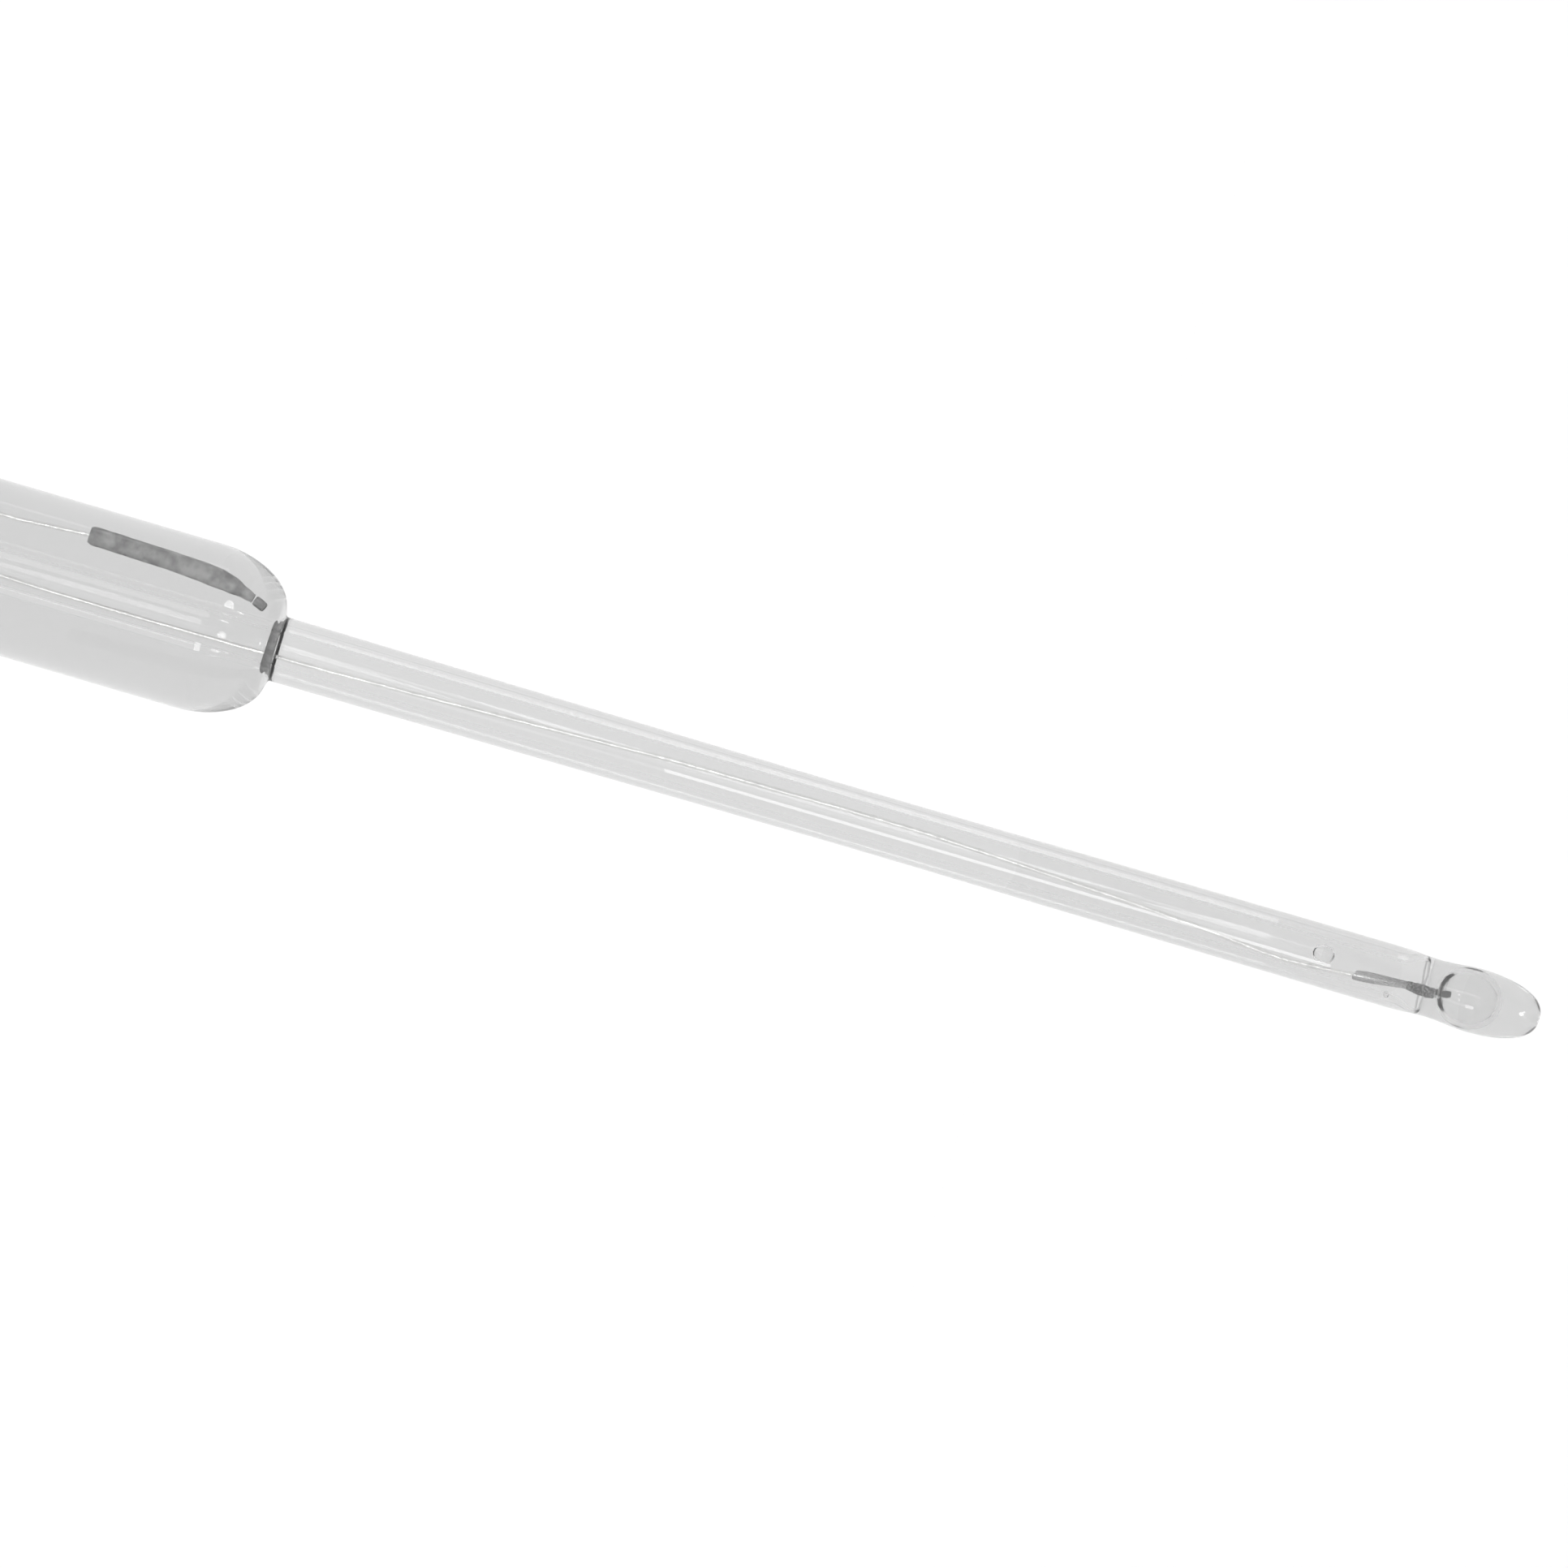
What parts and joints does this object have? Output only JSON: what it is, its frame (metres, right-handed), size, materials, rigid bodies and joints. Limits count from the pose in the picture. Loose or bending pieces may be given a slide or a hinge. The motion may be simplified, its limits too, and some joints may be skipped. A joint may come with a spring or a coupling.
{
  "type": "combination ph electrode",
  "caption": "Glass combination pH electrode: wide shaft with a refill sleeve, narrow stem with a pH bulb, inner tube and silver reference elements, and a plug head.",
  "frame": {"origin": "the lowest point of the pH bulb, on the electrode's axis", "axes": "+Z along the axis from the bulb up to the plug head; +X towards the reference cartridge; the refill hole faces -Y"},
  "size_m": [0.018, 0.018, 0.194],
  "materials": {
    "clear_glass": "clear, fire-polished",
    "membrane_glass": "clear thin pH glass, fire-polished",
    "ring_rubber": "dark satin",
    "junction_ceramic": "off-white, unglazed",
    "cartridge_grey": "dark grey, matt, mottled",
    "plug_grey": "grey, porous",
    "silver_wire": "bright drawn silver, slightly uneven",
    "sleeve_metal": "drawn, bright",
    "pellet_grey": "dark grey silver chloride, rough",
    "stopper_silicone": "translucent, satin",
    "potting_resin": "cast resin, dark",
    "head_plastic": "moulded, fine texture, near black",
    "slider_plastic": "moulded, dark grey",
    "seal_rubber": "black, satin",
    "bush_nickel": "turned, nickel-plated",
    "insulator_white": "white, waxy",
    "contact_gold": "gold-plated, bright",
    "solder": "bright tin solder"
  },
  "bodies": {
    "electrode": {"outer_shaft": "clear_glass", "inner_tube": "clear_glass", "membrane_bulb": "membrane_glass", "neck_ring": "ring_rubber", "ceramic_junction": "junction_ceramic", "reference_cartridge": "cartridge_grey", "cartridge_plug": "plug_grey", "reference_wire": "silver_wire", "measuring_wire": "silver_wire", "contact_sleeve": "sleeve_metal", "silver_chloride_pellet": "pellet_grey", "contact_tip": "pellet_grey", "inner_tube_stopper": "stopper_silicone", "shaft_potting": "potting_resin", "head_body": "head_plastic", "connector_bush": "bush_nickel", "connector_o_ring": "seal_rubber", "outer_insulator": "insulator_white", "ring_contact": "contact_gold", "inner_insulator": "insulator_white", "centre_contact": "contact_gold", "measuring_solder": "solder", "reference_solder": "solder"},
    "sleeve": {"refill_sleeve": "slider_plastic", "upper_sleeve_ring": "seal_rubber", "lower_sleeve_ring": "seal_rubber"}
  },
  "joints": [
    {"name": "refill_sleeve_slide", "type": "slide", "parent": "electrode", "child": "sleeve", "axis": [0, 0, -1], "range_m": [0, 0.012]}
  ]
}
